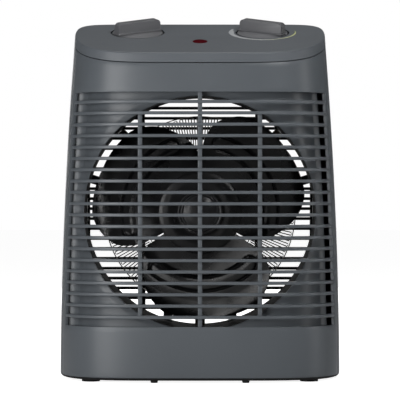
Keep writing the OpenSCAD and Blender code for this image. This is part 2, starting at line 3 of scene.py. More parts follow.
import bpy
from mathutils import Matrix, Vector


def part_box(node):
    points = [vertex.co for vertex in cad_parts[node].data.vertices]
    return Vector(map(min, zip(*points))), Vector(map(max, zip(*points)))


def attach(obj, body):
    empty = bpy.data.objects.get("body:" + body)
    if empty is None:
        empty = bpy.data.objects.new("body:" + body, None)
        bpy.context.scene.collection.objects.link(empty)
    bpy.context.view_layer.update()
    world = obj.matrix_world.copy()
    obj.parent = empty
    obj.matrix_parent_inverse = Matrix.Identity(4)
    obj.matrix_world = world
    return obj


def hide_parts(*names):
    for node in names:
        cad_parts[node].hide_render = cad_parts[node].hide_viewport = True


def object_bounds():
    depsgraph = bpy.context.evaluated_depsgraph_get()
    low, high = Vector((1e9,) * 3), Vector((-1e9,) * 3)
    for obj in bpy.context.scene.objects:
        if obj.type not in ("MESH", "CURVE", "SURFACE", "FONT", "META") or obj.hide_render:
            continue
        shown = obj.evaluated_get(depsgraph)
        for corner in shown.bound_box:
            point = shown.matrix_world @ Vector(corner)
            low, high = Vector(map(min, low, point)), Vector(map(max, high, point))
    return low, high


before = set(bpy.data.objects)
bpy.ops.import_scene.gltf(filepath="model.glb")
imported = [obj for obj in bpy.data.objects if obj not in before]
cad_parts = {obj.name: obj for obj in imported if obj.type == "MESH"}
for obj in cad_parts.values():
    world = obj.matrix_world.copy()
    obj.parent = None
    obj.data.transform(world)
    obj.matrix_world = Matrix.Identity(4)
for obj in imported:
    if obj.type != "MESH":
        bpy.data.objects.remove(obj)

cadLow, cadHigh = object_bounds()
mm = 0.001
mergeDistance = 2e-6        # in metres, for corners that meet
print("frame loaded:", len(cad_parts), "nodes")

# the heater's outline, in millimetres: x across, d behind the front face, z up

body = {
    "halfFoot": 125.2,      # half the width at the foot
    "sideTaper": 11.6,      # lean of each side at taperHeight
    "taperHeight": 285.0,
    "taperPower": 1.85,
    "depth": 165.0,         # depth at the foot
    "backLean": 0.172,
    "widest": 75.0,         # depth of the widest line
    "frontPower": 5.0,      # squareness of the front corners
    "rearPower": 12.0,      # squareness of the rear corners
    "rearRound": 3.0,
    "lidFront": 288.0,      # height of the control panel's front edge
    "lidSlope": 15.8,
    "lidBand": 8.4,         # height of the panel's side band
    "wall": 2.8,
    "seam": 50.0,           # depth of the joint between the shells
    "gap": 0.5,
    "footRound": 3.5,
    "footHeight": 2.3,
    "shellLow": 4.6,        # where both shells start
    "middle": 150.0,        # height at which the shells' columns are spaced
}
airWay = {
    "axis": 148.3,          # height of the fan's axis
    "ductRadius": 104.0,
    "holeRadius": 102.5,
    "flat": 101.0,          # half width between the flats of the rear opening
    "rim": 2.4,
}
frontY = cadLow.y           # the front face's place in the frame


def place(x, d, z):
    return Vector((x * mm, frontY + d * mm, z * mm))


def halfWidth(z):
    return body["halfFoot"] - body["sideTaper"] * (max(z, 0) / body["taperHeight"]) ** body["taperPower"]


def depthAt(z):
    return body["depth"] - body["backLean"] * z


def frontPoint(w, z, inset=0.0):
    # w runs from -1 on the left to 1 on the right
    x = (halfWidth(z) - inset) * w
    d = body["widest"] - (body["widest"] - inset) * sqrt(max(0, 1 - abs(w) ** body["frontPower"]))
    return x, d


def rearPoint(w, z, inset=0.0):
    x = (halfWidth(z) - inset) * w
    share = max(0, 1 - abs(w) ** body["rearPower"]) ** (1 / body["rearRound"])
    return x, body["widest"] + (depthAt(z) - body["widest"] - inset) * share


def frontWhere(d, inset=0.0):
    # the w at which the front curve has come back to depth d
    share = (body["widest"] - d) / (body["widest"] - inset)
    return (1 - share ** 2) ** (1 / body["frontPower"])


def lidHeight(d):
    return body["lidFront"] + d * tan(radians(body["lidSlope"]))


def footInset(z):
    # how far the rounded bottom edge draws the outline in
    rise = body["footRound"] - (z - body["footHeight"])
    return 0 if rise <= 0 else body["footRound"] - sqrt(max(0, body["footRound"] ** 2 - rise ** 2))


def evenSteps(curve, start, end, count):
    # count + 1 values between start and end, evenly spaced along the curve
    samples, fine = [], 4000
    for k in range(fine + 1):
        share = k / fine
        swing = 0.5 - 0.5 * cos(pi * share)
        samples.append(start + (end - start) * (0.5 - 0.5 * cos(pi * swing)))
    points = [Vector(curve(value)) for value in samples]
    run = [0.0]
    for before, after in zip(points, points[1:]):
        run.append(run[-1] + (after - before).length)
    steps, k = [], 0
    for n in range(count + 1):
        goal = run[-1] * n / count
        while k < len(run) - 2 and run[k + 1] < goal:
            k += 1
        part = (goal - run[k]) / max(run[k + 1] - run[k], 1e-9)
        steps.append(samples[k] + (samples[k + 1] - samples[k]) * min(1, max(0, part)))
    return steps


# modelling helpers

def clearSelection():
    if bpy.context.object and bpy.context.object.mode != "OBJECT":
        bpy.ops.object.mode_set(mode="OBJECT")
    bpy.ops.object.select_all(action="DESELECT")


def only(piece):
    clearSelection()
    piece.select_set(True)
    bpy.context.view_layer.objects.active = piece


def settle(piece):
    # the piece's place goes into its mesh
    only(piece)
    bpy.ops.object.transform_apply(location=True, rotation=True, scale=True)
    return piece


def modify(piece, kind, **settings):
    only(piece)
    modifier = piece.modifiers.new(kind.lower(), kind)
    for key, value in settings.items():
        setattr(modifier, key, value)
    bpy.ops.object.modifier_apply(modifier=modifier.name)
    return piece


def editAll(piece):
    only(piece)
    bpy.ops.object.mode_set(mode="EDIT")
    bpy.ops.mesh.select_all(action="SELECT")


def weld(piece, fillEnds=False):
    editAll(piece)
    bpy.ops.mesh.remove_doubles(threshold=mergeDistance)
    if fillEnds:
        bpy.ops.mesh.fill_holes(sides=0)
    bpy.ops.mesh.select_all(action="SELECT")
    bpy.ops.mesh.normals_make_consistent(inside=False)
    bpy.ops.object.mode_set(mode="OBJECT")
    return piece


def net(name, columns, rows, spot):
    # a grid whose corners are moved to spot(i, j)
    clearSelection()
    bpy.ops.mesh.primitive_grid_add(x_subdivisions=columns, y_subdivisions=rows, size=2)
    piece = bpy.context.object
    piece.name = name
    for corner in piece.data.vertices:
        i = round((corner.co.x + 1) / 2 * columns)
        j = round((corner.co.y + 1) / 2 * rows)
        corner.co = spot(i, j)
    return piece


def sweep(name, stations, profile, closed=False):
    # profile is a closed loop of (a, b); each station is (origin, a's direction, b's direction)
    count = len(profile)
    last = len(stations)

    def spot(i, j):
        origin, first, second = stations[i % last]
        a, b = profile[j % count]
        return origin + first * a * mm + second * b * mm

    piece = net(name, last if closed else last - 1, count, spot)
    return weld(piece, fillEnds=not closed)


def softBox(width, height, radius, steps=3):
    # the outline of a rounded rectangle around its middle
    loop = []
    for turn in range(4):
        cx = (width / 2 - radius) * (1 if turn in (0, 3) else -1)
        cy = (height / 2 - radius) * (1 if turn in (0, 1) else -1)
        for k in range(steps + 1):
            angle = pi / 2 * (turn + k / steps)
            loop.append((cx + radius * cos(angle), cy + radius * sin(angle)))
    return loop


def cylinder(radius, length, middle, tilt, sides):
    # a cylinder that leans back from upright by tilt
    clearSelection()
    bpy.ops.mesh.primitive_cylinder_add(
        vertices=sides, radius=radius * mm, depth=length * mm, location=middle, rotation=(tilt, 0, 0))
    return settle(bpy.context.object)


def drum(radius, d0, d1, x, z, sides):
    # a cutter along the depth
    return cylinder(radius, d1 - d0, place(x, (d0 + d1) / 2, z), pi / 2, sides)


def lathe(name, profile, origin, axis, steps=128):
    # profile is a list of (radius, height along axis), turned all the way round with spin
    clearSelection()
    bpy.ops.mesh.primitive_plane_add(size=1, location=(0, 0, 0))
    piece = bpy.context.object
    piece.name = name
    editAll(piece)
    bpy.ops.mesh.delete(type="VERT")
    bpy.ops.object.mode_set(mode="OBJECT")
    piece.data.from_pydata(
        [(r * mm, 0, h * mm) for r, h in profile], [(k, k + 1) for k in range(len(profile) - 1)], [])
    editAll(piece)
    bpy.ops.mesh.spin(steps=steps, angle=2 * pi, center=(0, 0, 0), axis=(0, 0, 1))
    bpy.ops.object.mode_set(mode="OBJECT")
    weld(piece)
    turn = Vector((0, 0, 1)).rotation_difference(Vector(axis)).to_matrix().to_4x4()
    piece.data.transform(Matrix.Translation(origin) @ turn)
    return piece


def cut(piece, cutter, kind="DIFFERENCE"):
    modify(piece, "BOOLEAN", operation=kind, object=cutter, solver="EXACT")
    bpy.data.objects.remove(cutter)
    return piece


def join(name, pieces):
    clearSelection()
    for piece in pieces:
        piece.select_set(True)
    bpy.context.view_layer.objects.active = pieces[0]
    bpy.ops.object.join()
    pieces[0].name = name
    return pieces[0]


def smooth(piece, angle=32):
    only(piece)
    bpy.ops.object.shade_smooth_by_angle(angle=radians(angle))
    return piece


def bevel(piece, width, segments, angle):
    return modify(piece, "BEVEL", width=width * mm, segments=segments, limit_method="ANGLE",
                  angle_limit=radians(angle), use_clamp_overlap=True)


def softEdges(piece, width, angle):
    return smooth(bevel(piece, width, 2, angle))


def wear(piece, material):
    piece.data.materials.clear()
    piece.data.materials.append(material)


def finishPiece(piece, ownBody, slotName, material, *nodes):
    # every piece rides on a body, stands for its nodes and takes one finish
    only(piece)
    wear(piece, material)
    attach(piece, ownBody)
    if nodes:
        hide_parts(*nodes)
    return piece


# materials

def newGroup(name, **inputs):
    # an input's value gives its kind; each group puts out a colour, a roughness and a normal
    group = bpy.data.node_groups.new(name, "ShaderNodeTree")
    for label, value in inputs.items():
        kind = "Float" if isinstance(value, float) else {3: "Vector", 4: "Color"}[len(value)]
        socket = group.interface.new_socket(label, in_out="INPUT", socket_type="NodeSocket" + kind)
        socket.default_value = value
    for label, kind in (("Colour", "Color"), ("Roughness", "Float"), ("Normal", "Vector")):
        group.interface.new_socket(label, in_out="OUTPUT", socket_type="NodeSocket" + kind)
    return group, group.nodes.new("NodeGroupInput"), group.nodes.new("NodeGroupOutput")


def add(tree, kind, **settings):
    node = tree.nodes.new(kind)
    for key, value in settings.items():
        if key in node.inputs and not hasattr(type(node), key):
            node.inputs[key].default_value = value
        else:
            setattr(node, key, value)
    return node


def calculate(tree, operation, first, second=None, third=None):
    node = add(tree, "ShaderNodeMath", operation=operation)
    for socket, value in zip(node.inputs, (first, second, third)):
        if value is None:
            continue
        if isinstance(value, (int, float)):
            socket.default_value = value
        else:
            tree.links.new(value, socket)
    return node.outputs[0]


def noise(tree, vector, scale, detail):
    texture = add(tree, "ShaderNodeTexNoise", Scale=scale, Detail=detail)
    tree.links.new(vector, texture.inputs["Vector"])
    return texture.outputs["Fac"]


# moulded surface: fine spark texture, faint mottling of colour and gloss
def mouldedGroup():
    tree, start, end = newGroup("mouldedGrain", Colour=(0.1, 0.1, 0.1, 1), Roughness=0.45,
                                Grain=1.0, Mottle=0.05)
    link = tree.links.new
    coords = add(tree, "ShaderNodeTexCoord").outputs["Object"]
    fine, broad = noise(tree, coords, 2600, 3), noise(tree, coords, 28, 4)
    bump = add(tree, "ShaderNodeBump", Distance=0.00006)
    link(start.outputs["Grain"], bump.inputs["Strength"])
    link(fine, bump.inputs["Height"])
    swing = calculate(tree, "SUBTRACT", broad, 0.5)
    lift = calculate(tree, "MULTIPLY_ADD", swing, start.outputs["Mottle"], 1.0)
    shade = add(tree, "ShaderNodeVectorMath", operation="SCALE")
    link(start.outputs["Colour"], shade.inputs[0])
    link(lift, shade.inputs["Scale"])
    rough = calculate(tree, "MULTIPLY_ADD", swing, 0.18, start.outputs["Roughness"])
    link(shade.outputs[0], end.inputs["Colour"])
    link(rough, end.inputs["Roughness"])
    link(bump.outputs["Normal"], end.inputs["Normal"])
    return tree


# rolled or drawn metal: streaks along one axis, small stains
def streakGroup():
    tree, start, end = newGroup("drawnStreaks", Colour=(0.6, 0.6, 0.6, 1), Stain=(0.3, 0.28, 0.25, 1),
                                Roughness=0.3, Stretch=(1, 12, 1))
    link = tree.links.new
    coords = add(tree, "ShaderNodeTexCoord").outputs["Object"]
    pull = add(tree, "ShaderNodeVectorMath", operation="MULTIPLY")
    link(coords, pull.inputs[0])
    link(start.outputs["Stretch"], pull.inputs[1])
    streak, cloud = noise(tree, pull.outputs[0], 240, 5), noise(tree, coords, 55, 6)
    patch = add(tree, "ShaderNodeMapRange", **{"From Min": 0.5, "From Max": 0.8})
    link(cloud, patch.inputs["Value"])
    mix = add(tree, "ShaderNodeMix", data_type="RGBA")
    link(patch.outputs[0], mix.inputs["Factor"])
    link(start.outputs["Colour"], mix.inputs["A"])
    link(start.outputs["Stain"], mix.inputs["B"])
    rough = calculate(tree, "MULTIPLY_ADD", streak, 0.25, start.outputs["Roughness"])
    bump = add(tree, "ShaderNodeBump", Distance=0.00005, Strength=0.5)
    link(streak, bump.inputs["Height"])
    link(mix.outputs["Result"], end.inputs["Colour"])
    link(rough, end.inputs["Roughness"])
    link(bump.outputs["Normal"], end.inputs["Normal"])
    return tree


groups = {"moulded": mouldedGroup(), "streak": streakGroup()}


def newMaterial(name, **settings):
    # the settings are the shader's own, with _ for a space
    material = bpy.data.materials.new(name)
    material.use_nodes = True
    shader = material.node_tree.nodes["Principled BSDF"]
    for key, value in settings.items():
        shader.inputs[key.replace("_", " ")].default_value = value
    return material, material.node_tree, shader


def withGroup(name, groupName, values, **settings):
    material, tree, shader = newMaterial(name, **settings)
    node = tree.nodes.new("ShaderNodeGroup")
    node.node_tree = groups[groupName]
    for key, value in values.items():
        node.inputs[key].default_value = value
    for output, socket in (("Colour", "Base Color"), ("Roughness", "Roughness"), ("Normal", "Normal")):
        tree.links.new(node.outputs[output], shader.inputs[socket])
    return material


def plastic(name, colour, roughness, grain=0.6, mottle=0.06, **settings):
    values = {"Colour": (*colour, 1), "Roughness": roughness, "Grain": grain, "Mottle": mottle}
    return withGroup(name, "moulded", values, **settings)


def metal(name, colour, stain, roughness, stretch=(1, 12, 1)):
    values = {"Colour": (*colour, 1), "Stain": (*stain, 1), "Roughness": roughness, "Stretch": stretch}
    return withGroup(name, "streak", values, Metallic=1.0)


finishes = {
    "bodyPlastic": plastic("bodyPlastic", (0.106, 0.119, 0.1325), 0.38),
    "panelPlastic": plastic("panelPlastic", (0.113, 0.126, 0.141), 0.46),
    "knobPlastic": plastic("knobPlastic", (0.138, 0.140, 0.149), 0.4),
    "darkPlastic": plastic("darkPlastic", (0.012, 0.012, 0.013), 0.6, Specular_IOR_Level=0.35),
    # air duct: dark plastic, whose near-black colour and almost absent gloss also paint the shade of the
    # unlit inner wall
    "ductPlasticPaintedShade": plastic("ductPlasticPaintedShade", (0.004, 0.004, 0.0045), 0.9, Specular_IOR_Level=0.08),
    "bladePaint": plastic("bladePaint", (0.0035, 0.0035, 0.004), 0.28, grain=0.3, Specular_IOR_Level=0.42),
    "capPlastic": plastic("capPlastic", (0.011, 0.011, 0.012), 0.3, grain=0.2),
    "bobbinPlastic": plastic("bobbinPlastic", (0.62, 0.58, 0.48), 0.5),
    "controlBody": plastic("controlBody", (0.66, 0.62, 0.52), 0.48, mottle=0.15),
    "footRubber": plastic("footRubber", (0.014, 0.014, 0.014), 0.8, grain=1.0),
    "steel": metal("steel", (0.56, 0.57, 0.58), (0.36, 0.35, 0.34), 0.26),
    "bronze": metal("bronze", (0.52, 0.36, 0.16), (0.28, 0.18, 0.08), 0.38, (1, 1, 1)),
    "brass": metal("brass", (0.68, 0.50, 0.20), (0.40, 0.28, 0.12), 0.28),
    "blackSteel": metal("blackSteel", (0.045, 0.046, 0.048), (0.07, 0.06, 0.055), 0.42),
    "ribbonWire": metal("ribbonWire", (0.10, 0.095, 0.09), (0.06, 0.045, 0.04), 0.5, (1, 6, 1)),
}


def patterned(name, kind, pattern, output, dark, pale, paleFrom=1.0, relief=None, **settings):
    # a texture blends dark into pale, and raises the surface where a relief in metres is given
    material, tree, shader = newMaterial(name, **settings)
    link = tree.links.new
    texture = add(tree, kind, **pattern)
    link(add(tree, "ShaderNodeTexCoord").outputs["Object"], texture.inputs["Vector"])
    ramp = add(tree, "ShaderNodeValToRGB")
    for element, colour in zip(ramp.color_ramp.elements, (dark, pale)):
        element.color = (*colour, 1)
    ramp.color_ramp.elements[1].position = paleFrom
    link(texture.outputs[output], ramp.inputs["Fac"])
    link(ramp.outputs["Color"], shader.inputs["Base Color"])
    if relief:
        bump = add(tree, "ShaderNodeBump", Distance=relief)
        link(texture.outputs[output], bump.inputs["Height"])
        link(bump.outputs["Normal"], shader.inputs["Normal"])
    return material


def laminationMaterial():
    # stacked core sheets, side by side along the depth
    bands = {"wave_type": "BANDS", "bands_direction": "Y", "Scale": 314, "Distortion": 0.4}
    return patterned("coreSheets", "ShaderNodeTexWave", bands, "Fac",
                     (0.025, 0.027, 0.03), (0.16, 0.17, 0.18),
                     paleFrom=0.35, relief=0.0001, Roughness=0.42, Metallic=0.6)


def windingMaterial():
    # enamelled wire laid side by side
    turns = {"wave_type": "BANDS", "bands_direction": "X", "Scale": 520, "Distortion": 1.2,
             "Detail Scale": 3}
    return patterned("copperWinding", "ShaderNodeTexWave", turns, "Fac",
                     (0.09, 0.02, 0.006), (0.52, 0.17, 0.06),
                     relief=0.0002, Roughness=0.3, Metallic=0.7, Coat_Weight=0.6)


def micaMaterial():
    # pressed mica: pale flakes with darker specks
    return patterned("micaBoard", "ShaderNodeTexVoronoi", {"Scale": 420}, "Distance",
                     (0.030, 0.020, 0.012), (0.13, 0.10, 0.065), relief=0.0001, Roughness=0.7)


def lensMaterial():
    return patterned("lensRed", "ShaderNodeTexNoise", {"Scale": 300}, "Fac",
                     (0.055, 0.0012, 0.004), (0.085, 0.002, 0.006), Roughness=0.4, IOR=1.05)


def lampMaterial():
    return patterned("lampGlass", "ShaderNodeTexNoise", {"Scale": 500}, "Fac",
                     (0.8, 0.42, 0.2), (0.95, 0.6, 0.35), Roughness=0.08, Transmission_Weight=0.8)


# the printed heat scale: silver at its thick left end, yellow at its thin right end
def scaleMaterial(middle, reach):
    material, tree, shader = newMaterial("scalePrint", Roughness=0.4)
    link = tree.links.new
    part = add(tree, "ShaderNodeSeparateXYZ")
    link(add(tree, "ShaderNodeTexCoord").outputs["Object"], part.inputs[0])
    span = add(tree, "ShaderNodeMapRange", **{"From Min": middle - reach, "From Max": middle + reach})
    link(part.outputs["X"], span.inputs["Value"])
    ramp = add(tree, "ShaderNodeValToRGB")
    ramp.color_ramp.elements[0].color = (0.46, 0.48, 0.50, 1)
    ramp.color_ramp.elements[1].color = (0.66, 0.70, 0.30, 1)
    ramp.color_ramp.elements.new(0.52).color = (0.62, 0.63, 0.60, 1)
    link(span.outputs[0], ramp.inputs["Fac"])
    link(ramp.outputs["Color"], shader.inputs["Base Color"])
    return material


finishes["coreSheets"] = laminationMaterial()
finishes["copperWinding"] = windingMaterial()
finishes["micaBoard"] = micaMaterial()
finishes["lensRed"] = lensMaterial()
finishes["lampGlass"] = lampMaterial()
print("materials made:", len(finishes))

# front housing: skin with the window, slats, sills and uprights

front = {
    "columns": 96,          # cells across the curved face
    "windowLow": 49.1,
    "windowHigh": 254.2,
    "slotEnd": 41.0,        # depth at which the window ends on the sides
    "slats": 20,
    "pitch": 9.9,
    "slatThick": 2.8,
    "slatDepth": 5.0,
    "slatRound": 0.55,
    "uprightX": 52.3,
    "uprightWide": 3.8,
    "uprightFrom": 2.5,
    "uprightTo": 8.0,
    "sillFrom": 1.2,
    "sillTo": 9.9,
    "sillThick": 2.6,
    "footRows": [4.9, 5.3, 5.8, 10, 18, 27, 36, 44],     # heights of the rows up to the window
    "windowRows": 14,
    "topRows": 6,
    "edge": 0.35,
}


def frontNormal(w, z, inset):
    # level direction that points out of the front face
    step = 0.0005
    x0, d0 = frontPoint(max(-1, w - step), z, inset)
    x1, d1 = frontPoint(min(1, w + step), z, inset)
    return Vector((d1 - d0, -(x1 - x0), 0)).normalized()


def frontSkin():
    wSeam = frontWhere(body["seam"] - body["gap"] / 2)
    wSlot = frontWhere(front["slotEnd"])
    middle = evenSteps(lambda w: frontPoint(w, body["middle"]), -wSlot, wSlot, front["columns"])
    across = [-wSeam, -(wSeam + wSlot) / 2] + middle + [(wSeam + wSlot) / 2, wSeam]
    low, high, rows, above = front["windowLow"], front["windowHigh"], front["windowRows"], front["topRows"]
    levels = [body["shellLow"], *front["footRows"]]
    levels += [low + (high - low) * k / rows for k in range(rows + 1)]

    def spot(i, j):
        w = across[i]
        if j < len(levels):
            z = levels[j]
        else:
            share = (j - len(levels) + 1) / above
            top = lidHeight(frontPoint(w, 290)[1]) - body["lidBand"] - body["gap"]
            z = high + (top - high) * share
        x, d = frontPoint(w, z, footInset(z))
        return place(x, d, z)

    piece = net("front_housing", len(across) - 1, len(levels) + above - 1, spot)
    only(piece)
    bpy.ops.object.mode_set(mode="EDIT")
    bpy.ops.mesh.select_all(action="DESELECT")
    bpy.ops.object.mode_set(mode="OBJECT")
    for face in piece.data.polygons:
        centre = face.center
        inside = low * mm < centre.z < high * mm
        face.select = inside and centre.y < frontY + front["slotEnd"] * mm
    bpy.ops.object.mode_set(mode="EDIT")
    bpy.ops.mesh.select_mode(type="FACE")
    bpy.ops.mesh.delete(type="FACE")
    bpy.ops.mesh.select_all(action="SELECT")
    bpy.ops.mesh.normals_make_consistent(inside=False)
    bpy.ops.object.mode_set(mode="OBJECT")
    if piece.data.polygons[0].normal.y > 0:
        piece.data.flip_normals()
    modify(piece, "SOLIDIFY", thickness=body["wall"] * mm, offset=-1, use_even_offset=True)
    return softEdges(piece, front["edge"], 50)


def levelStations(z, inset, reach, count):
    wEnd = frontWhere(reach, inset)
    stations = []
    for w in evenSteps(lambda w: frontPoint(w, z, inset), -wEnd, wEnd, count):
        x, d = frontPoint(w, z, inset)
        stations.append((place(x, d, z), frontNormal(w, z, inset), Vector((0, 0, 1))))
    return stations


def slat(index):
    z = front["windowLow"] + (index + 1) * front["pitch"] - front["slatThick"] / 2
    half = front["slatDepth"] / 2
    outline = softBox(front["slatDepth"], front["slatThick"], front["slatRound"])
    return sweep("slat", levelStations(z, half, front["slotEnd"] + 1, 72), outline)


def sill(z):
    depth = front["sillTo"] - front["sillFrom"]
    outline = softBox(depth, front["sillThick"], 0.2, 1)
    return sweep("sill", levelStations(z, front["sillFrom"] + depth / 2, front["slotEnd"], 72), outline)


def upright(x, low, high):
    depth = front["uprightTo"] - front["uprightFrom"]
    outline = softBox(front["uprightWide"], depth, 0.5)
    stations = []
    for k in range(13):
        z = low + (high - low) * k / 12
        inset = (front["uprightFrom"] + front["uprightTo"]) / 2
        w = x / (halfWidth(z) - inset)
        d = frontPoint(w, z, inset)[1]
        stations.append((place(x, d, z), Vector((1, 0, 0)), Vector((0, 1, 0))))
    return sweep("upright", stations, outline)


def makeFrontHousing():
    pieces = [frontSkin()]
    pieces += [smooth(slat(k), 50) for k in range(front["slats"])]
    low, high = front["windowLow"], front["windowHigh"]
    pieces += [smooth(sill(z), 50) for z in (low - 1.5, high + 1.5)]
    slatLow = low + front["pitch"] - front["slatThick"]
    slatTop = low + (front["slats"] - 1) * front["pitch"]
    pieces.append(smooth(upright(0, low - 1, high + 1), 50))
    for x in (-front["uprightX"], front["uprightX"]):
        pieces.append(smooth(upright(x, slatLow + 0.3, slatTop - 0.3), 50))
    piece = join("front_housing", pieces)
    return finishPiece(piece, "housing", "body_plastic", finishes["bodyPlastic"], "front_shell")


print("front housing made:", len(makeFrontHousing().data.polygons), "faces")

# rear housing

rear = {
    "columns": 120,
    "edge": 0.4,
    "screwHead": 4.4,
    "screws": [(26.0, 20.0), (266.0, 22.0)],     # height and distance in from the side
    "footRows": [5.8, 10],
    "topRows": 26,
    "inletX": 62.0,
    "inletZ": 25.0,
    "inletRadius": 8.1,
    "openingFrom": 95.0,    # depths between which the cutters run
    "screwFrom": 85.0,
    "inletFrom": 120.0,
    "cutTo": 200.0,
}


def sideAndRear(w, z, inset=0.0):
    # w runs from -2 to 2: the sides ahead of the widest line, then the rear curve
    if abs(w) <= 1:
        return rearPoint(w, z, inset)
    sign = 1 if w > 0 else -1
    wSeam = frontWhere(body["seam"] + body["gap"] / 2)
    return frontPoint(sign * (1 - (abs(w) - 1) * (1 - wSeam)), z, inset)


def rearTop(w):
    # each pass comes nearer the height at which the wall meets the panel's band
    z = 290
    for _ in range(6):
        z = lidHeight(sideAndRear(w, z)[1]) - body["lidBand"] - body["gap"]
    return z


def rearSkin():
    back = evenSteps(lambda w: rearPoint(w, body["middle"]), -1, 1, rear["columns"])
    across = [-2, -1.8, -1.6, -1.4, -1.2] + back + [1.2, 1.4, 1.6, 1.8, 2]
    tops = [rearTop(w) for w in across]
    low, above = [body["shellLow"], *rear["footRows"]], rear["topRows"]

    def spot(i, j):
        if j < len(low):
            z = low[j]
        else:
            z = low[-1] + (tops[i] - low[-1]) * (j - len(low) + 1) / above
        x, d = sideAndRear(across[i], z, footInset(z))
        return place(x, d, z)

    piece = net("rear_housing", len(across) - 1, len(low) + above - 1, spot)
    weld(piece)
    middle = min(piece.data.polygons, key=lambda face: (face.center - place(0, 140, body["middle"])).length)
    if middle.normal.y < 0:
        piece.data.flip_normals()
    return modify(piece, "SOLIDIFY", thickness=body["wall"] * mm, offset=-1, use_even_offset=True)


def openingCutter(radius, flat, d0, d1):
    # a drum with two flats
    piece = drum(radius, d0, d1, 0, airWay["axis"], 192)
    only(piece)
    bpy.ops.object.mode_set(mode="EDIT")
    for side in (-1, 1):
        bpy.ops.mesh.select_all(action="SELECT")
        bpy.ops.mesh.bisect(plane_co=(side * flat * mm, 0, 0), plane_no=(side, 0, 0),
                            use_fill=True, clear_outer=True)
    bpy.ops.object.mode_set(mode="OBJECT")
    return piece


def makeRearHousing():
    piece = rearSkin()
    rim, end = airWay["rim"], rear["cutTo"]
    cut(piece, openingCutter(airWay["ductRadius"] + rim, airWay["flat"] + rim, rear["openingFrom"], end))
    for z, inward in rear["screws"]:
        for side in (-1, 1):
            x = side * (halfWidth(z) - inward)
            cut(piece, drum(rear["screwHead"], rear["screwFrom"], end, x, z, 48))
    cut(piece, drum(rear["inletRadius"], rear["inletFrom"], end, rear["inletX"], rear["inletZ"], 64))
    softEdges(piece, rear["edge"], 50)
    return finishPiece(piece, "housing", "body_plastic", finishes["bodyPlastic"], "rear_shell")


print("rear housing made:", len(makeRearHousing().data.polygons), "faces")

# control panel

lid = {
    "knobX": 56.0,
    "knobD": 77.0,
    "wellRadius": 24.2,
    "wellDepth": 2.4,
    "bushRadius": 4.8,
    "lensD": 42.0,
    "lensRadius": 6.6,
    "edgeRound": 1.2,
    "edge": 0.35,
    "wellWall": 1.6,
    "cupDepth": 5.0,        # the cup under a knob, below the panel's face
    "cupTop": 1.5,
    "past": 9.0,            # how far the cutters reach past the panel's face
    "columns": 96,          # cells along the front curve, and along the rear one
}
lidTurn = Matrix.Rotation(radians(body["lidSlope"]), 4, "X")
lidUp = lidTurn.to_3x3() @ Vector((0, 0, 1))


def onLid(x, d):
    return place(x, d, lidHeight(d))


def lidDrum(radius, low, high, x, d, sides=96):
    # a cylinder square to the panel, from low to high above it
    middle = onLid(x, d) + lidUp * (low + high) / 2 * mm
    return cylinder(radius, high - low, middle, radians(body["lidSlope"]), sides)


def ringPoint(curve, w, drop, inset):
    # the outline's point w, at the height where it is drop below the panel's plane
    z = 300.0
    for _ in range(8):
        x, d = curve(w, z, inset)
        z = lidHeight(d) - drop
    return place(x, d, z)


def lidShell():
    ahead = evenSteps(lambda w: frontPoint(w, 295), -1, 1, lid["columns"])
    behind = evenSteps(lambda w: rearPoint(w, 305), 1, -1, lid["columns"])
    around = [(frontPoint, w) for w in ahead] + [(rearPoint, w) for w in behind[1:-1]]
    soft, band, wall = lid["edgeRound"], body["lidBand"], body["wall"]
    layers = [(wall, wall), (band, wall), (band, 0.25), (band - 0.25, 0)]
    layers += [(soft - soft * sin(pi / 2 * k / 5), soft - soft * cos(pi / 2 * k / 5)) for k in range(6)]

    def spot(i, j):
        drop, inset = layers[j]
        return ringPoint(*around[i % len(around)], drop, inset)

    piece = net("top_panel", len(around), len(layers) - 1, spot)
    return weld(piece, fillEnds=True)


def makeTopPanel():
    piece, past, d = lidShell(), lid["past"], lid["knobD"]
    places = (-lid["knobX"], lid["knobX"])
    cupRadius = lid["wellRadius"] + lid["wellWall"]
    for x in places:
        cut(piece, lidDrum(cupRadius, -lid["cupDepth"], -lid["cupTop"], x, d), "UNION")
    for x in places:
        cut(piece, lidDrum(lid["wellRadius"], -lid["wellDepth"], past, x, d))
        cut(piece, lidDrum(lid["bushRadius"], -past, 2, x, d, 48))
    cut(piece, lidDrum(lid["lensRadius"], -past, past, 0, lid["lensD"], 64))
    bevel(piece, lid["edge"], 2, 50)
    smooth(piece, 28)
    modify(piece, "WEIGHTED_NORMAL", keep_sharp=True, weight=80)
    return finishPiece(piece, "housing", "panel_plastic", finishes["panelPlastic"], "control_panel")


print("top panel made:", len(makeTopPanel().data.polygons), "faces")

# printed heat scale round the right knob: a crescent that thins to the right

scale = {
    "outer": 30.2,          # outer radius
    "thick": 5.4,           # width at the left end
    "thin": 1.5,            # width at the right end
    "from": 152.0,          # start and end, in degrees round the knob
    "to": 372.0,
    "thinning": 1.7,        # the width is down to thin after 1 / thinning of the way round
    "tip": 0.25,            # share of the width at the very ends
    "tipRate": 7.0,
    "lift": 0.03,
    "height": 0.08,
}


def makeScale():
    columns, rows = 96, 4

    def spot(i, j):
        share = i / columns
        angle = radians(scale["from"] + (scale["to"] - scale["from"]) * share)
        width = scale["thick"] + (scale["thin"] - scale["thick"]) * min(1, share * scale["thinning"])
        width *= min(1, scale["tip"] + scale["tipRate"] * min(share, 1 - share))
        radius = scale["outer"] - width * j / rows
        flat = Vector((radius * cos(angle), radius * sin(angle), scale["lift"])) * mm
        return onLid(lid["knobX"], lid["knobD"]) + lidTurn.to_3x3() @ flat

    piece = net("heat_scale", columns, rows, spot)
    if piece.data.polygons[0].normal.z < 0:
        piece.data.flip_normals()
    modify(piece, "SOLIDIFY", thickness=scale["height"] * mm, offset=1)
    material = scaleMaterial(lid["knobX"] * mm, scale["outer"] * mm)
    return finishPiece(smooth(piece), "housing", "panel_plastic", material)


makeScale()

# knobs

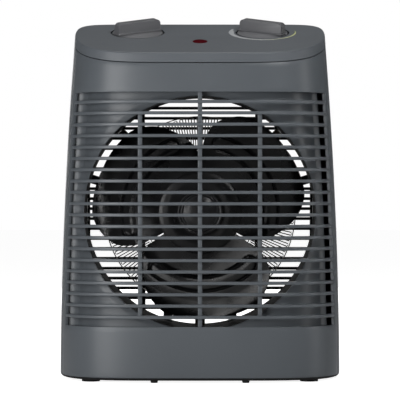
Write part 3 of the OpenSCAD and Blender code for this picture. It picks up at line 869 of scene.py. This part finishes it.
knob = {
    "radius": 22.6,
    "hollow": 10.0,         # radius of the opening under the disc
    "low": -1.7,
    "top": 1.1,
    "gripLong": 42.5,
    "gripWide": 9.0,
    "gripTop": 10.6,
    "gripRound": 3.5,
    "gripLean": 0.09,       # share by which the grip is narrower at its top
    "turn": 30.0,           # degrees at rest, the two knobs opposite ways
    "soft": 0.35,
    "skirtFrom": 15.0,      # radius at which the disc starts to slope down
    "skirtDrop": 1.1,
    "footFlare": 1.2,
    "footHigh": 1.1,
}


def knobDisc(name):
    r, low, top, drop = knob["radius"], knob["low"], knob["top"], knob["skirtDrop"]
    profile = [(knob["hollow"], low), (r - 0.3, low), (r, low + 0.3), (r, top - drop - 0.3),
               (r - 0.2, top - drop), (knob["skirtFrom"], top - 0.1),
               (knob["skirtFrom"] - 0.5, top), (0, top)]
    return lathe(name, profile, Vector(), (0, 0, 1), 128)


def knobGrip(name):
    long, wide, top, corner = knob["gripLong"], knob["gripWide"], knob["gripTop"], knob["gripRound"]
    outline = [(-long / 2, 0.2), (long / 2, 0.2)]
    for side, start in ((1, 0), (-1, pi / 2)):
        middle = side * (long / 2 - corner)
        for k in range(7):
            angle = start + pi / 2 * k / 6
            outline.append((middle + corner * cos(angle), top - corner + corner * sin(angle)))
    widths = [-wide / 2, wide / 2]

    def spot(i, j):
        a, b = outline[j % len(outline)]
        return Vector((a, widths[i] * (1 - knob["gripLean"] * b / top), b)) * mm

    piece = net(name, 1, len(outline), spot)
    weld(piece, fillEnds=True)
    return bevel(piece, knob["soft"], 3, 40)


def knobFoot(name):
    # a sloped foot where the grip stands on the disc
    long, wide = knob["gripLong"], knob["gripWide"]
    flare, low, high = knob["footFlare"], knob["top"] - 0.4, knob["top"] + knob["footHigh"]
    lowLoop = softBox(long + 2 * flare, wide + 2 * flare, flare + 0.3)
    highLoop = softBox(long, wide, 0.3)

    def spot(i, j):
        a, b = (lowLoop, highLoop)[i][j % len(lowLoop)]
        return Vector((a, b, (low, high)[i])) * mm

    return weld(net(name, 1, len(lowLoop), spot), fillEnds=True)


def makeKnob(name, side, ownBody, slotName, node):
    disc = knobDisc(name)
    piece = cut(disc, knobFoot("foot"), "UNION")
    cut(piece, knobGrip("grip"), "UNION")
    turn = Matrix.Rotation(radians(-side * knob["turn"]), 4, "Z")
    where = Matrix.Translation(onLid(side * lid["knobX"], lid["knobD"]))
    piece.data.transform(where @ lidTurn @ turn)
    smooth(piece, 30)
    return finishPiece(piece, ownBody, slotName, finishes["knobPlastic"], node)


makeKnob("heat_knob", 1, "thermostat", "knob_plastic", "thermostat_knob")
makeKnob("mode_knob", -1, "selector", "knob_plastic", "selector_knob")
print("knobs made")

# pilot lens

lens = {
    "radius": 6.5,
    "low": -5.0,            # its foot, below the panel
    "edge": 0.2,
    "dome": 0.9,
}


def makeLens():
    r, low = lens["radius"], lens["low"]
    profile = [(0, low), (r - 0.3, low), (r, low + 0.3)]
    for k in range(17):
        angle = pi / 2 * k / 16
        profile.append((r * cos(angle), lens["edge"] + lens["dome"] * sin(angle)))
    piece = lathe("pilot_window", profile, onLid(0, lid["lensD"]), lidUp, 96)
    finishPiece(smooth(piece, 40), "housing", "lens_red", finishes["lensRed"], "pilot_lens")


makeLens()

# baffle with its rolled lip

baffle = {
    "back": 10.0,           # set back behind the front face
    "thick": 2.2,
    "low": 40.3,
    "high": 258.2,
    "end": 39.0,            # depth at which the sheet turns out towards the sides
    "flangeEnd": 44.0,
    "flangeInset": 3.4,
    "rightReach": 0.55,     # on the right the flange stops short, so the slots end in a dark gap
    "lipStart": 111.0,      # the lip slopes from here in to lipTurn
    "lipTurn": 103.4,
    "lipSlope": 1.6,
    "lipDeep": 3.0,
}


def baffleEnds(z):
    # where the curved sheet ends and where it meets the side wall
    sheetX = frontPoint(frontWhere(baffle["end"], baffle["back"]), z, baffle["back"])[0]
    wallX = frontPoint(frontWhere(baffle["flangeEnd"], baffle["flangeInset"]), z, baffle["flangeInset"])[0]
    return sheetX, wallX


def baffleDepth(x, z):
    sheetX, wallX = baffleEnds(z)
    if abs(x) <= sheetX:
        return frontPoint(abs(x) / (halfWidth(z) - baffle["back"]), z, baffle["back"])[1]
    share = min(1, (abs(x) - sheetX) / (wallX - sheetX))
    return baffle["end"] + (baffle["flangeEnd"] - baffle["end"]) * (1 - (1 - share) ** 2)


def baffleSheet():
    wEnd = frontWhere(baffle["end"], baffle["back"])
    columns, flange, rows = 96, 8, 30
    across = evenSteps(lambda w: frontPoint(w, body["middle"], baffle["back"]), -wEnd, wEnd, columns)

    def spot(i, j):
        z = baffle["low"] + (baffle["high"] - baffle["low"]) * j / rows
        sheetX, wallX = baffleEnds(z)
        inner = min(max(i - flange, 0), columns)
        x = frontPoint(across[inner], z, baffle["back"])[0]
        outside = abs(i - flange - inner)
        if outside:
            reach = (wallX - sheetX) * outside / flange
            x = sheetX + reach * baffle["rightReach"] if x > 0 else -sheetX - reach
        return place(x, baffleDepth(x, z), z)

    piece = net("air_guide", columns + 2 * flange, rows, spot)
    weld(piece)
    if piece.data.polygons[0].normal.y > 0:
        piece.data.flip_normals()
    modify(piece, "SOLIDIFY", thickness=baffle["thick"] * mm, offset=-1)
    return cut(piece, drum(baffle["lipStart"], -20, 80, 0, airWay["axis"], 192))


def baffleLip():
    start, turn, hole = baffle["lipStart"], baffle["lipTurn"], airWay["holeRadius"]
    slope, deep = baffle["lipSlope"], baffle["lipDeep"]
    profile = [(start + 1.4, 0.6), (start, 0), ((start + turn) / 2, slope / 2)]
    for k in range(7):
        angle = pi / 2 * k / 6
        profile.append((hole + (turn - hole) * (1 - sin(angle)), slope + (deep - slope) * (1 - cos(angle))))
    profile += [(hole + 0.3, deep + 0.4), (turn, deep + 0.2), (start - 0.5, 2.4), (start + 1.4, 2.0)]
    columns = 192

    def spot(i, j):
        radius, back = profile[j % len(profile)]
        angle = 2 * pi * i / columns
        x, z = radius * cos(angle), airWay["axis"] + radius * sin(angle)
        sheetX, wallX = baffleEnds(z)
        x = min(x, sheetX + (wallX - sheetX) * baffle["rightReach"])
        return place(x, baffleDepth(x, z) + back, z)

    return weld(net("lip", columns, len(profile), spot))


def makeBaffle():
    piece = join("air_guide", [smooth(baffleSheet()), smooth(baffleLip(), 50)])
    return finishPiece(piece, "housing", "body_plastic", finishes["bodyPlastic"], "air_baffle")


makeBaffle()
print("baffle made")

# rear grille

grille = {
    "pitch": 9.2,
    "below": 11,            # bars below the middle one, and from it up
    "above": 11,
    "bar": 2.5,
    "up": 3.4,              # the middle bar stands this far above the axis
    "inset": 2.9,
    "thick": 3.0,
    "upright": 3.8,
}
backTilt = atan(body["backLean"])
backTurn = Matrix.Rotation(backTilt, 4, "X").to_3x3()


def onBack(x, out, up):
    # a point in the frame of the leaning back: out of the back, up along it
    return place(0, depthAt(airWay["axis"]), airWay["axis"]) + backTurn @ (Vector((x, out, up)) * mm)


def chord(up):
    # half length of a bar at that height, short of the rim's middle
    room = (airWay["ductRadius"] + 1) ** 2 - up ** 2
    return min(airWay["flat"] + 1, sqrt(max(0, room)))


def makeGrille():
    mid = -grille["inset"] - grille["thick"] / 2
    outward = backTurn @ Vector((0, 1, 0))
    upward = backTurn @ Vector((0, 0, 1))
    tilt = 1 / cos(backTilt)
    pieces = []
    for k in range(-grille["below"], grille["above"]):
        up = grille["up"] + k * grille["pitch"]
        half = chord(up)
        stations = [(onBack(x, mid, up * tilt), outward, upward) for x in (-half, 0, half)]
        pieces.append(sweep("bar", stations, softBox(grille["thick"], grille["bar"], 0.7)))
    for x in (-front["uprightX"], 0, front["uprightX"]):
        half = sqrt((airWay["ductRadius"] + 1) ** 2 - x ** 2) * tilt
        stations = [(onBack(x, mid, up), outward, Vector((1, 0, 0))) for up in (-half, 0, half)]
        pieces.append(sweep("post", stations, softBox(grille["thick"] - 0.2, grille["upright"], 0.7)))
    # rim: a ring with two flats
    radius, flat = airWay["ductRadius"] + airWay["rim"] / 2, airWay["flat"] + airWay["rim"] / 2
    stations = []
    for k in range(192):
        angle = 2 * pi * k / 192
        x, up = radius * cos(angle), radius * sin(angle)
        side = Vector((cos(angle), 0, sin(angle)))
        if abs(x) > flat:
            x, side = flat * (1 if x > 0 else -1), Vector((1 if x > 0 else -1, 0, 0))
        stations.append((onBack(x, mid, up * tilt), outward, (backTurn @ side)))
    pieces.append(sweep("rim", stations, softBox(grille["thick"], airWay["rim"] - 0.2, 0.5), closed=True))
    piece = join("back_grille", [smooth(p, 50) for p in pieces])
    return finishPiece(piece, "housing", "dark_plastic", finishes["darkPlastic"], "rear_grille")


makeGrille()
print("rear grille made")

# fan: three pressed blades on a disc, and the cap

fan = {
    "depth": 65.0,
    "tip": 95.4,
    "root": 33.0,
    "disc": 37.0,
    "discThick": 2.4,
    "discFront": 1.22,      # the cap stands this far ahead of the disc's middle
    "bore": 3.02,
    "swell": 0.9,           # the pressed ring round the cap stands this far forward
    "sheet": 1.2,
    "edge": 0.3,
    "rise": 13.0,
    "tipRound": 16.0,
    "fullRadius": 54.0,     # the blade is widest here
    "halfSpan": 58.0,       # half the blade's width there, in degrees
    "spanLoss": 25.0,       # how much narrower the tip is, in degrees
    "lossPower": 1.35,
    "rootGain": 1.2,        # extra at the root, in degrees
    "rootTo": 50.0,         # radius at which that extra has gone
    "rootOver": 8.0,
    "middle": 30.0,         # the blade's middle line, in degrees
    "sweep": 6.0,           # how far it bends by sweepOver outside fullRadius
    "sweepOver": 25.0,
    "riseOver": 26.0,       # the blade reaches its full twist this far outside the disc
    "grooveRadius": 64.0,   # the kidney's middle line
    "grooveAway": 6.2,      # how far its outline lies from that line
    "grooveSpan": 41.0,
    "grooveMiddle": 33.0,
    "grooveHalf": 2.1,
    "grooveDeep": 1.9,
    "capRadius": 20.0,
    "capHigh": 7.0,
}
fanCentre = place(0, fan["depth"], airWay["axis"])


def bladeSpan(r):
    out = max(0, (r - fan["fullRadius"]) / (fan["tip"] - fan["fullRadius"]))
    over = max(0, r - (fan["tip"] - fan["tipRound"]))
    corner = fan["tipRound"] - sqrt(max(0, fan["tipRound"] ** 2 - over ** 2))
    root = fan["rootGain"] * min(1, max(0, (fan["rootTo"] - r) / fan["rootOver"]))
    return fan["halfSpan"] + root - fan["spanLoss"] * out ** fan["lossPower"] - degrees(corner / r)


def bladeMiddle(r):
    return fan["middle"] + fan["sweep"] * min(1, max(0, (r - fan["fullRadius"]) / fan["sweepOver"]))


def groove(r, angle):
    # the pressed outline of a kidney: how deep it is at this radius and angle
    away = max(0, abs(angle - fan["grooveMiddle"]) - fan["grooveSpan"])
    reach = abs(hypot(radians(away) * r, r - fan["grooveRadius"]) - fan["grooveAway"]) / fan["grooveHalf"]
    return fan["grooveDeep"] * (1 - reach ** 2) ** 2 if reach < 1 else 0


def blade(index):
    columns, rows = 132, 66

    def spot(i, j):
        r = fan["root"] + (fan["tip"] - fan["root"]) * (1 - (1 - j / rows) ** 1.5)
        part = 2 * i / columns - 1
        angle = bladeMiddle(r) + bladeSpan(r) * part
        out = -fan["rise"] * part * min(1, max(0, (r - fan["disc"]) / fan["riseOver"]))
        out += groove(r, angle)
        turned = radians(angle + 120 * index)
        return fanCentre + Vector((r * cos(turned), out, r * sin(turned))) * mm

    piece = net("blade", columns, rows, spot)
    modify(piece, "SOLIDIFY", thickness=fan["sheet"] * mm, offset=0)
    return softEdges(piece, fan["edge"], 60)


def makeFan():
    half, disc, bore, swell = fan["discThick"] / 2, fan["disc"], fan["bore"], fan["swell"]
    outline = [(bore, half), (bore, -half), (20.5, -half), (23, -half), (26, -half - swell),
               (30, -half - swell), (33, -half), (disc - 0.5, -half), (disc, -half + 0.5),
               (disc, half - 0.5), (disc - 0.5, half), (bore, half)]
    plate = lathe("disc", outline, fanCentre, (0, 1, 0), 128)
    piece = join("round_fan", [smooth(plate, 50)] + [blade(k) for k in range(3)])
    return finishPiece(piece, "fan_rotor", "blade_paint", finishes["bladePaint"], "fan")


def makeCap():
    # radius and drop from the middle's height: two raised rings round a low dome
    rings = [(20, 1.9), (19.7, 1.5), (19.3, 1.35), (18.6, 1.35), (18.2, 1.6), (18.0, 2.3), (17.6, 2.4),
             (17.2, 1.5), (16.6, 1.2), (15.8, 1.3), (15.2, 2.0), (14.2, 2.0), (13.2, 1.3), (10, 0.6),
             (6, 0.2), (2, 0.02), (0, 0)]
    profile = [(0, 0), (fan["capRadius"], 0)] + [(r, fan["capHigh"] - drop) for r, drop in rings]
    foot = place(0, fan["depth"] - fan["discFront"], airWay["axis"])
    piece = lathe("nose_cap", profile, foot, (0, -1, 0), 128)
    finishPiece(smooth(piece, 40), "fan_rotor", "cap_plastic", finishes["capPlastic"], "hub_cap")


makeFan()
makeCap()
print("fan and cap made")

# heater: one ribbon folded round the duct between two mica rings

heater = {
    "ribs": 200,
    "inner": 53.2,
    "outer": 85.0,
    "start": 97.2,          # depth of its front edge
    "wide": 7.6,
    "thick": 0.5,
    "tilt": 4.0,            # each rib leans by this much, in degrees
    "fold": 0.3,            # how far a fold bulges past its ribs
    "innerRing": 51.0,
    "outerRing": 86.2,
    "ringThick": 0.6,
}


def heaterPoint(r, angle, d):
    return place(r * cos(angle), d, airWay["axis"] + r * sin(angle))


def makeRibbon():
    ribs, middle, lean = heater["ribs"], heater["start"] + heater["wide"] / 2, radians(heater["tilt"])
    step = 2 * pi / ribs
    stations = []
    for k in range(ribs):
        angle, turned = k * step, (k + 0.5) * step
        ends = [heater["inner"], heater["outer"]][::(-1) ** k]
        across = Vector((-sin(angle), 0, cos(angle)))
        flat = Vector((0, 1, 0)) * cos(lean) + across * sin(lean)
        thin = across * cos(lean) - Vector((0, 1, 0)) * sin(lean)
        stations += [(heaterPoint(r, angle, middle), thin * (-1) ** k, flat) for r in ends]
        # the fold to the next rib
        outward = Vector((cos(turned), 0, sin(turned))) * (-1) ** k
        fold = heaterPoint(ends[1], turned, middle) + outward * heater["fold"] * mm
        stations.append((fold, -outward, Vector((0, 1, 0))))
    a, b = heater["thick"] / 2, heater["wide"] / 2
    piece = sweep("heater_ribbon", stations, [(-a, -b), (a, -b), (a, b), (-a, b)], closed=True)
    smooth(piece, 30)
    return finishPiece(piece, "housing", "resistance_wire", finishes["ribbonWire"], "heating_ribbon")


def makeRing(name, radius, node):
    low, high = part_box(node)
    d0, d1 = (low.y - frontY) / mm, (high.y - frontY) / mm
    thick = heater["ringThick"]
    profile = [(radius, d0), (radius + thick, d0), (radius + thick, d1), (radius, d1), (radius, d0)]
    piece = lathe(name, profile, place(0, 0, airWay["axis"]), (0, 1, 0), 160)
    return finishPiece(smooth(piece, 40), "housing", "mica_board", finishes["micaBoard"], node)


makeRibbon()
makeRing("heater_inner_ring", heater["innerRing"], "mica_inner_ring")
makeRing("heater_outer_ring", heater["outerRing"], "mica_outer_ring")
print("heater made")

# CAD nodes that stay

nodeFinish = {
    "darkPlastic": ["base_plate", "selector_body", "cable_inlet", "cable_clamp", "thermal_cutout"],
    # the duct's near-black finish is partly painted shade for its unlit inner wall
    "ductPlasticPaintedShade": ["air_duct"],
    "footRubber": ["feet"],
    "steel": ["fan_hub", "motor_shaft", "front_bracket", "rear_bracket", "motor_screws",
              "thermostat_spindle", "thermostat_nut", "selector_spindle", "selector_nut"],
    "blackSteel": ["base_screws", "housing_screws", "motor_mount"],
    "coreSheets": ["stator_core", "rotor"],
    "copperWinding": ["motor_coil"],
    "bobbinPlastic": ["coil_bobbin"],
    "bronze": ["front_bearing", "rear_bearing"],
    "micaBoard": ["heater_supports"],
    "brass": ["heater_terminals"],
    "controlBody": ["thermostat_body", "terminal_block"],
    "lampGlass": ["pilot_lamp"],
}
for finishName, names in nodeFinish.items():
    for name in names:
        wear(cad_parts[name], finishes[finishName])
print("CAD nodes finished:", sum(len(names) for names in nodeFinish.values()))

# floor, light and camera

studio = {
    "floorSize": 14.0,
    "floorColour": (0.9, 0.9, 0.9, 1),
    "floorGlow": 0.9,
    "eye": (0.0, -2300.0, 177.3),     # x, d and z of the camera
    "aim": (0.0, 0.0, 159.9),
    "lens": 238.0,
    "lights": [
        # name, place, aim, width, height, power, spread in degrees
        ("leftBox", (-0.60, -0.82, 0.24), (-0.02, 0, 0.14), 0.6, 0.5, 5.1, 180),
        ("rightBox", (0.75, -1.35, 1.05), (0.09, -0.08, 0.32), 0.4, 0.4, 0.28, 26),
        ("rimBox", (1.30, -0.28, 0.32), (0, -0.05, 0.18), 0.25, 0.8, 2.4, 180),
        ("topBox", (0.0, 0.35, 1.7), (0, 0, 0.25), 0.6, 0.4, 6.9, 180),
        ("rearBox", (-0.1, 1.9, 0.4), (0, 0, 0.15), 1.2, 0.8, 7, 180),
    ],
    "worldGlow": 0.085,
}


def makeFloor():
    clearSelection()
    bpy.ops.mesh.primitive_plane_add(size=studio["floorSize"], location=(0, 0, 0))
    floor = bpy.context.object
    floor.name = "studio_floor"
    material, tree, shader = newMaterial(
        "floorPaper", Base_Color=studio["floorColour"], Roughness=0.9, Emission_Color=(1, 1, 1, 1))
    # the glow only shows to the camera, so the paper looks white and the heater isn't lit from below
    path = add(tree, "ShaderNodeLightPath")
    glow = calculate(tree, "MULTIPLY", path.outputs["Is Camera Ray"], studio["floorGlow"])
    tree.links.new(glow, shader.inputs["Emission Strength"])
    wear(floor, material)


def makeLights():
    for name, where, aim, width, height, power, spread in studio["lights"]:
        clearSelection()
        bpy.ops.object.light_add(type="AREA", location=where)
        lamp = bpy.context.object
        lamp.name = name
        lamp.data.shape = "RECTANGLE"
        lamp.data.size, lamp.data.size_y = width, height
        lamp.data.energy = power
        lamp.data.spread = radians(spread)
        lamp.rotation_euler = (Vector(aim) - Vector(where)).to_track_quat("-Z", "Y").to_euler()


def makeWorld():
    world = bpy.data.worlds.new("studio")
    bpy.context.scene.world = world
    world.use_nodes = True
    tree = world.node_tree
    tree.nodes.clear()
    seen = add(tree, "ShaderNodeBackground", Color=(1, 1, 1, 1), Strength=1.0)
    fill = add(tree, "ShaderNodeBackground", Color=(1, 1, 1, 1), Strength=studio["worldGlow"])
    path = add(tree, "ShaderNodeLightPath")
    mix = add(tree, "ShaderNodeMixShader")
    end = add(tree, "ShaderNodeOutputWorld")
    tree.links.new(path.outputs["Is Camera Ray"], mix.inputs[0])
    tree.links.new(fill.outputs[0], mix.inputs[1])
    tree.links.new(seen.outputs[0], mix.inputs[2])
    tree.links.new(mix.outputs[0], end.inputs["Surface"])


def makeCamera():
    clearSelection()
    eye, aim = place(*studio["eye"]), place(*studio["aim"])
    bpy.ops.object.camera_add(location=eye)
    camera = bpy.context.object
    camera.data.lens = studio["lens"]
    camera.data.sensor_width = 36
    camera.data.clip_end = 60
    camera.rotation_euler = (aim - eye).to_track_quat("-Z", "Y").to_euler()
    bpy.context.scene.camera = camera


makeFloor()
makeLights()
makeWorld()
makeCamera()
bpy.context.scene.view_settings.view_transform = "Standard"
print("studio made")
